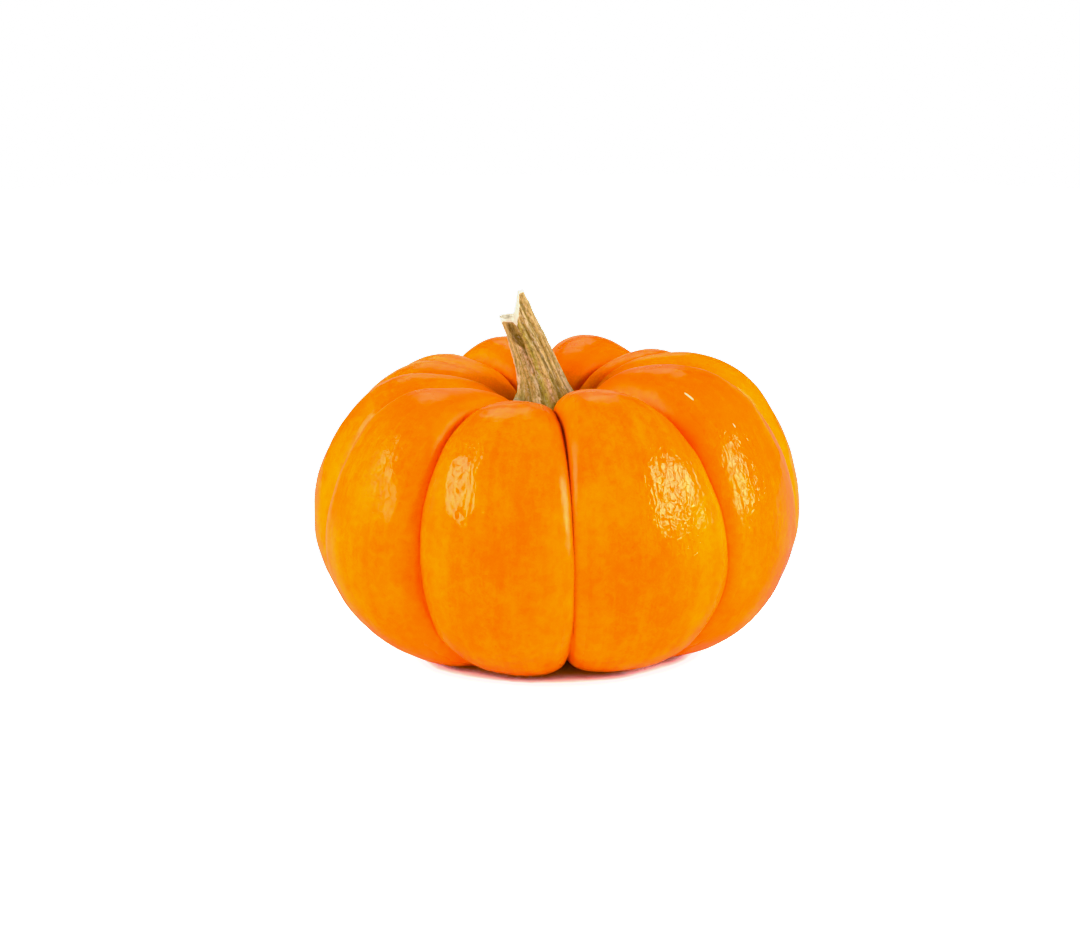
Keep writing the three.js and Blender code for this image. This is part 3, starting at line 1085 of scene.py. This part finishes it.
@dataclass
class Stem:
    """The stem: a ridged stub with a spreading foot, broken off with one splinter left standing.

    Radii and heights are mm. The fields that begin with spike shape the splinter. Bare wood
    shows to bare_depth under the rim, and deeper between the azimuths bare_splinter and
    bare_corner. The stretches scale the height in the coordinates of the fibres and the bark.
    The bark's relief sets in over bark_from, as a share of the height, and the break's over
    jag_from, as a share of the radius.
    """

    finish: StemFinish = field(default_factory=StemFinish)
    seat_height: float = 48.0
    ledge_height: float = 67.2
    sink: float = 0.6
    foot_flat: float = 0.5
    base: Pair = (-1.2, -0.3)
    axis: Pair = (-0.55, -0.05)
    lean: float = -6.5
    lean_power: float = 1.3
    top_radius: float = 3.5
    taper: float = 1.2
    flare: float = 2.3
    flare_power: float = 4.0
    depth_ratio: float = 0.94
    ridging: float = 0.85
    spike_rise: float = 5.6
    spike_azimuth: float = 62.0
    spike_half_width: float = 71.0
    spike_blunt: float = 0.20
    spike_bluntness: float = 0.78
    spike_thickness: float = 0.62
    bark: tuple[Layer, ...] = (Layer(2.2, 0.16, 2.0), Layer(0.55, 0.13, 9.0))
    jag: Layer = Layer(0.7, 0.3, 4.0)
    bare_splinter: tuple[float, ...] = (-20.0, -6.0, 20.0, 62.0)
    bare_corner: tuple[float, ...] = (-130.0, -95.0, -70.0, -45.0)
    bare_depth: Pair = (0.15, 0.75)
    splinter_bareness: float = 2.2
    bark_from: Pair = (0.0, 0.03)
    jag_from: Pair = (1.0, 0.85)
    fibre_stretch: float = 0.12
    bark_stretch: float = 0.60
    stripes: tuple[Stripe, ...] = (
        Stripe(-78, -78, 15, 0.07, high=0.80, ease=0.15),
        Stripe(-84, -84, 28, 0.26, Tone.MOSS, -1.0, 0.14, ease=0.12),
        Stripe(-28, -57, 7, -0.07, Tone.OLIVE, 0.0, 0.75),
        Stripe(-16, -36, 13, 0.09),
        Stripe(3, -2, 8, 0.07, Tone.GREEN),
        Stripe(18, 6, 6, 0.04),
        Stripe(30, 21, 3, -0.05, Tone.OLIVE, 0.10, 0.60),
        Stripe(60, 56, 3, -0.05, Tone.OLIVE, 0.05, 0.85),
        Stripe(-6, -14, 3, -0.05, Tone.OLIVE, 0.20, 0.75),
        Stripe(42, 13, 6, -0.08, Tone.OLIVE, 0.0, 0.98),
        Stripe(30, 27, 6, 0.07, Tone.CREAM, 0.45, 1.1),
        Stripe(47, 41, 5, -0.07, Tone.OLIVE, 0.28, 1.2),
        Stripe(68, 66, 16, 0.10),
        Stripe(94, 91, 7, -0.12, Tone.OLIVE),
        Stripe(114, 112, 13, 0.09),
        Stripe(134, 133, 6, -0.11, Tone.OLIVE),
        Stripe(146, 150, 5, 0.06, Tone.GREEN),
        Stripe(162, 166, 10, 0.07),
        Stripe(184, 181, 7, -0.12, Tone.OLIVE),
        Stripe(204, 203, 13, 0.09),
        Stripe(228, 225, 6, -0.11, Tone.OLIVE),
        Stripe(240, 238, 5, 0.05, Tone.CREAM),
        Stripe(252, 250, 6, -0.09, Tone.OLIVE),
        Stripe(-14, -14, 8, 0.06, Tone.CREAM, 0.0, 0.42),
        Stripe(16, 16, 5, 0.0, Tone.PINK, 0.15, 0.42),
        Stripe(10, 10, 7, 0.0, Tone.BROWN, 0.0, 0.10),
        Stripe(-76, -76, 18, 0.0, Tone.PINK, 0.25, 0.90),
        Stripe(-34, -30, 22, 0.0, Tone.BROWN, 0.74, 0.97),
        Stripe(-14, -16, 8, 0.0, Tone.BROWN, 0.62, 0.84),
        Stripe(-20, -20, 18, 0.0, Tone.PINK, 0.44, 0.74),
        Stripe(-62, -62, 32, 0.0, Tone.MOSS, -0.05, 0.17),
        Stripe(66, 66, 14, 0.0, Tone.PINK, 0.0, 0.50),
        Stripe(150, 150, 30, 0.0, Tone.BROWN, 0.55, 0.80),
        Stripe(205, 205, 34, 0.0, Tone.PINK, 0.30, 0.70),
        Stripe(180, 180, 60, 0.0, Tone.MOSS, -0.05, 0.12),
        Stripe(0, 2, 13, 0.0, Tone.CREAM, 1.0, 1.6),
        Stripe(92, 92, 26, 0.0, Tone.MOSS, 0.92, 1.6),
        Stripe(84, 80, 24, 0.0, Tone.MOSS, 0.10, 0.92),
    )
    steps: int = 280
    rows: int = 180
    rings: int = 26

    def side(self, azimuth: Array, height: Array, reach: Array) -> Array:
        """Points of the stem at heights; reach is 1 on its side and 0 on its axis."""
        rise = self.rise(height)
        below = np.maximum(1 - rise, 0.0)
        plain = self.top_radius + self.taper * below + self.flare * below ** self.flare_power
        radius = plain * (1 + self.ribbing(azimuth, rise)) * reach
        angle = np.radians(azimuth)
        sideways = self.base[0] + self.lean * np.maximum(rise, 0.0) ** self.lean_power
        return np.stack((
            self.axis[0] + sideways + radius * np.sin(angle),
            self.axis[1] + self.base[1] - self.depth_ratio * radius * np.cos(angle),
            height - self.foot_flat,
        ), axis=-1)

    def rise(self, height: Array) -> Array:
        """Share of the way from the seat to the break."""
        return (height - self.seat_height) / (self.ledge_height - self.seat_height)

    def ribbing(self, azimuth: Array, rise: Array) -> Array:
        """Ridges less furrows, as a share of the radius."""
        return self.ridging * sum(stripe.height * stripe.at(azimuth, rise) for stripe in self.stripes)

    def tones(self, azimuth: Array, rise: Array) -> dict[str, Array]:
        """How much of each tone there is at each point."""
        made = {}
        for tone in Tone:
            parts = [stripe.at(azimuth, rise) for stripe in self.stripes if stripe.tone is tone]
            made[tone.value] = np.clip(sum(parts), 0.0, 1.0)
        return made

    def break_height(self, azimuth: Array, reach: Array) -> Array:
        """Height of the broken end: a level ledge and the splinter of wall standing on it."""
        away = np.abs(turned(azimuth, self.spike_azimuth))
        along = np.clip((1 - away / self.spike_half_width) / (1 - self.spike_blunt), 0.0, 1.0)
        along = along ** self.spike_bluntness
        into = np.maximum(0.0, 1 - (1 - reach) / self.spike_thickness)
        return self.ledge_height + self.spike_rise * along * into

    def torn(self, azimuth: Array, below: Array) -> Array:
        """How much bare wood shows on the side at each point, below the rim by so many mm."""
        turn = turned(azimuth, 0.0)
        splinter, corner = (
            smooth(start, full, turn) * smooth(end, fading, turn)
            for start, full, fading, end in (self.bare_splinter, self.bare_corner)
        )
        deeper = 1 + self.splinter_bareness * splinter + corner
        return 1 - smooth(*self.bare_depth, below / deeper)

    def build(self) -> bpy.types.Object:
        """Builds the stem, dresses it and lets it stand for the frame's node."""
        turn = np.arange(self.steps) * 360.0 / self.steps
        azimuth, share = np.meshgrid(turn, np.linspace(0.0, 1.0, self.rows), indexing="xy")
        low = self.seat_height - self.sink
        rim = self.break_height(azimuth, np.ones_like(azimuth))
        height = low + (rim - low) * share
        inward = np.linspace(1.0, 0.0, self.rings + 1)[1:-1]
        cap_azimuth, reach = np.meshgrid(turn, inward, indexing="xy")
        cap_height = self.break_height(cap_azimuth, reach)
        azimuths = np.concatenate((azimuth, cap_azimuth))
        heights = np.concatenate((height, cap_height))
        reaches = np.concatenate((np.ones_like(azimuth), reach))
        rise = self.rise(heights)
        grid = self.side(azimuths, heights, reaches)
        angle = np.radians(azimuths)
        mean_radius = self.top_radius + self.taper
        around = (mean_radius * np.sin(angle) * reaches, mean_radius * np.cos(angle) * reaches)
        fibre = np.stack((*around, self.fibre_stretch * heights), axis=-1)
        bark = np.stack((*around, self.bark_stretch * heights), axis=-1)
        rough = sum(layer.at(bark.reshape(-1, 3)).reshape(rise.shape) for layer in self.bark)
        on_wall = (np.arange(len(grid)) < self.rows)[:, None]
        ends = smooth(*self.bark_from, np.concatenate((share, reach)))
        grid = grid + grid_normals(grid) * (rough * ends * on_wall)[..., None]
        inside = grid[self.rows:]
        jag = self.jag.at(inside.reshape(-1, 3)).reshape(reach.shape)
        inside[..., 2] += jag * smooth(*self.jag_from, reach)
        broken = np.concatenate((self.torn(azimuth, rim - height), np.ones_like(reach)))
        carried = {"fibre": fibre, "bark": bark, "broken": broken, **self.tones(azimuths, rise)}
        piece = new_piece("pumpkin_stem", grid, self.finish.material(), carried)
        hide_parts("stem")
        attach(piece, "root")
        return piece


@dataclass(frozen=True)
class FloorFinish:
    """Plain white floor that passes into the white surroundings further off.

    The floor has one brightness for light that bounces on from it (grey, far_grey), one as it is
    seen (exposed, glow, and shadow_exposed right under the fruit), and one as the skin mirrors it
    (mirrored, and more on the far side by mirrored_behind). contact and shadow are the colours of
    the shadow at the feet and round them. lit goes by the open part of the sky, and
    past_contact and past_shadow by lit. cover_height is how far above the floor a thing still
    shades it, and glowing is where the floor passes into its glowing part, both in metres.
    """

    grey: float = 1.15
    shadow_exposed: float = 0.35
    exposed: float = 7.0
    cover_height: float = 0.030
    cover_rays: int = 24
    lit: Fade = Fade(0.05, 0.21)
    past_contact: Fade = Fade(0.0, 0.25)
    past_shadow: Fade = Fade(0.15, 0.9)
    contact: Colour = (0.95, 0.45, 0.50)
    shadow: Colour = (0.60, 0.64, 0.84)
    far_grey: float = 0.75
    glow: float = 2.4
    mirrored: float = 0.25
    mirrored_behind: Fade = Fade(0.96, 0.998, 0.65)
    glowing: Fade = Fade(0.045, 0.080)

    def material(self) -> bpy.types.Material:
        """Builds the material."""
        material, board = new_board("white_floor")
        at = board.node("ShaderNodeTexCoord").outputs["Object"]
        length = board.node("ShaderNodeVectorMath", {"operation": "LENGTH"}, {"Vector": at})
        away = Value(board, length.outputs["Value"])
        along = Value(board, board.node("ShaderNodeSeparateXYZ", {}, {"Vector": at}).outputs["Y"])
        path = board.node("ShaderNodeLightPath").outputs
        seen = Value(board, path["Is Camera Ray"])
        glossy = Value(board, path["Is Glossy Ray"])
        reach = {"Distance": self.cover_height}
        cover = board.node("ShaderNodeAmbientOcclusion", {"samples": self.cover_rays}, reach)
        lit = self.lit.of(Value(board, cover.outputs["AO"]))
        exposed = self.shadow_exposed + (self.exposed - self.shadow_exposed) * lit
        light = self.grey + (exposed - self.grey) * seen + (self.mirrored - self.grey) * glossy
        shaded = board.blend(self.past_contact.of(lit), self.contact, self.shadow)
        tone = board.scaled(board.blend(self.past_shadow.of(lit), shaded, WHITE), light)
        matt = board.node("ShaderNodeBsdfDiffuse", {}, {"Color": tone})
        mirrored = self.mirrored + self.mirrored_behind.of(along / away.at_least(MM))
        strength = self.far_grey + (self.glow - self.far_grey) * seen + (mirrored - self.far_grey) * glossy
        glow = board.node("ShaderNodeEmission", {}, {"Color": board.scaled(WHITE, strength)})
        board.finish(board.mixed(self.glowing.of(away), matt, glow))
        return material


@dataclass(frozen=True)
class Softbox:
    """A rectangular lamp that faces the pumpkin; sizes and distance are metres.

    brightness is how bright its face is, where 1 is white. A box that is not mirrored lights the
    pumpkin without showing in its gloss, and one that is not lighting, which is golden, only
    shows there. roll turns the box on its own axis, in degrees.
    """

    name: str
    azimuth: float
    elevation: float
    distance: float
    width: float
    height: float
    brightness: float
    mirrored: bool = True
    lighting: bool = True
    roll: float = 0.0

    def build(self, aim: Vector) -> bpy.types.Object:
        """Makes the lamp, facing aim."""
        lamp = bpy.data.lights.new(self.name, "AREA")
        lamp.shape = "RECTANGLE"
        lamp.size = self.width
        lamp.size_y = self.height
        lamp.color = WARM if self.lighting else GOLDEN
        lamp.energy = self.brightness * math.pi * self.width * self.height
        made = bpy.data.objects.new(self.name, lamp)
        turn = math.radians(self.azimuth)
        tip = math.radians(self.elevation)
        back = Vector((math.sin(turn) * math.cos(tip), -math.cos(turn) * math.cos(tip), math.sin(tip)))
        made.location = aim + back * self.distance
        facing = (-back).to_track_quat("-Z", "Y")
        rolled = Quaternion((0.0, 0.0, 1.0), math.radians(self.roll))
        made.rotation_euler = (facing @ rolled).to_euler()
        made.visible_camera = False
        made.visible_glossy = self.mirrored
        made.visible_diffuse = self.lighting
        bpy.context.scene.collection.objects.link(made)
        return made


@dataclass
class Studio:
    """Floor, lamps, surroundings and the camera at the photograph's angle.

    dim is how bright the surroundings are for the skin all round, and behind how much brighter
    they are straight behind. white is how bright they are as seen. response gives how bright
    each light is shown, and blue_response the same for blue alone.
    """

    floor: FloorFinish = field(default_factory=FloorFinish)
    floor_radius: float = 0.60
    floor_sides: int = 96
    lamps: tuple[Softbox, ...] = (
        Softbox("left_softbox", -65.0, 31.0, 0.90, 0.23, 0.78, 8.4, roll=55.0),
        Softbox("right_softbox", 71.0, 22.5, 0.90, 0.31, 0.48, 12.0, roll=-36.0),
        Softbox("right_shine", 71.0, 22.5, 0.89, 0.31, 0.48, 4.4, lighting=False, roll=-36.0),
        Softbox("left_fill", -95.0, 16.0, 1.00, 1.00, 0.80, 5.8, mirrored=False),
        Softbox("right_fill", 95.0, 16.0, 1.00, 1.00, 0.80, 5.1, mirrored=False),
        Softbox("front_fill", 0.0, 12.0, 1.30, 1.50, 0.90, 2.9, mirrored=False),
        Softbox("back_fill", 180.0, 16.0, 1.30, 1.60, 0.90, 2.8, mirrored=False),
        Softbox("high_card", 184.0, 39.0, 1.20, 0.46, 0.60, 1.35, lighting=False),
    )
    camera_target: Place = (-3.77, -0.05, 34.88)
    camera_elevation: float = 14.0
    camera_distance: float = 671.6
    lens: float = 112.4
    sensor: float = 36.0
    dim: float = 0.012
    behind: Fade = Fade(0.95, 0.998, 0.75)
    white: float = 2.2
    response: tuple[Pair, ...] = ((0.88, 0.88), (1.1, 0.925), (1.9, 0.945), (2.2, 1.0))
    blue_response: tuple[Pair, ...] = ((0.010, 0.0), (0.060, 0.054))

    def build(self) -> None:
        """Makes the whole studio."""
        self.build_camera()
        self.build_floor()
        aim = Vector(self.camera_target) * MM
        for lamp in self.lamps:
            lamp.build(aim)
        self.build_world()
        self.set_response()

    def set_response(self) -> None:
        """Gives the picture the photograph's tone curve: strong orange tops out just under white."""
        view = bpy.context.scene.view_settings
        view.view_transform = "Standard"
        view.use_curve_mapping = True
        mapping = view.curve_mapping
        mapping.white_level = (self.white, self.white, self.white)
        _, _, blue_curve, whole_curve = mapping.curves
        points = whole_curve.points
        points[1].location = (1.0, 1.0)
        for light, shown in self.response[:-1]:
            points.new(light / self.white, shown)
        blue = blue_curve.points
        for light, shown in self.blue_response:
            blue.new(light, shown)
        for point in (*points, *blue):
            point.handle_type = "VECTOR"
        mapping.update()

    def build_camera(self) -> None:
        """Puts the camera where the photograph was taken from."""
        data = bpy.data.cameras.new("camera")
        data.lens = self.lens
        data.sensor_width = self.sensor
        camera = bpy.data.objects.new("camera", data)
        tip = math.radians(self.camera_elevation)
        back = Vector((0.0, -math.cos(tip), math.sin(tip)))
        camera.location = (Vector(self.camera_target) + back * self.camera_distance) * MM
        camera.rotation_euler = (math.pi / 2 - tip, 0.0, 0.0)
        bpy.context.scene.collection.objects.link(camera)
        bpy.context.scene.camera = camera

    def build_floor(self) -> None:
        """Lays a round white floor."""
        turns = np.arange(self.floor_sides) * 2 * math.pi / self.floor_sides
        rim = [(self.floor_radius * math.cos(t), self.floor_radius * math.sin(t), 0.0) for t in turns]
        mesh = bpy.data.meshes.new("floor")
        mesh.from_pydata(rim, [], [tuple(range(self.floor_sides))])
        mesh.materials.append(self.floor.material())
        floor = bpy.data.objects.new("floor", mesh)
        bpy.context.scene.collection.objects.link(floor)

    def build_world(self) -> None:
        """Plain white where it is seen; for the skin it is bright only straight behind."""
        world = bpy.data.worlds.new("surroundings")
        bpy.context.scene.world = world
        world.use_nodes = True
        board = Board(world.node_tree)
        way = board.node("ShaderNodeTexCoord").outputs["Generated"]
        parts = board.node("ShaderNodeSeparateXYZ", {}, {"Vector": way})
        light = self.dim + self.behind.of(Value(board, parts.outputs["Y"]))
        dim = board.node("ShaderNodeBackground", {}, {"Color": board.scaled(GOLDEN, light)})
        plain = board.node("ShaderNodeBackground", {}, {"Color": WHITE, "Strength": self.white})
        seen = board.node("ShaderNodeLightPath").outputs["Is Camera Ray"]
        board.node("ShaderNodeOutputWorld", {}, {"Surface": board.mixed(seen, dim, plain)})


def main() -> None:
    """Builds the studio, the fruit and the stem."""
    logging.basicConfig(level=logging.INFO, format="%(name)s: %(message)s")
    Studio().build()
    for maker in (Fruit(), Stem()):
        piece = maker.build()
        log.info("%s: %d faces", piece.name, len(piece.data.polygons))


if __name__ == "__main__":
    main()
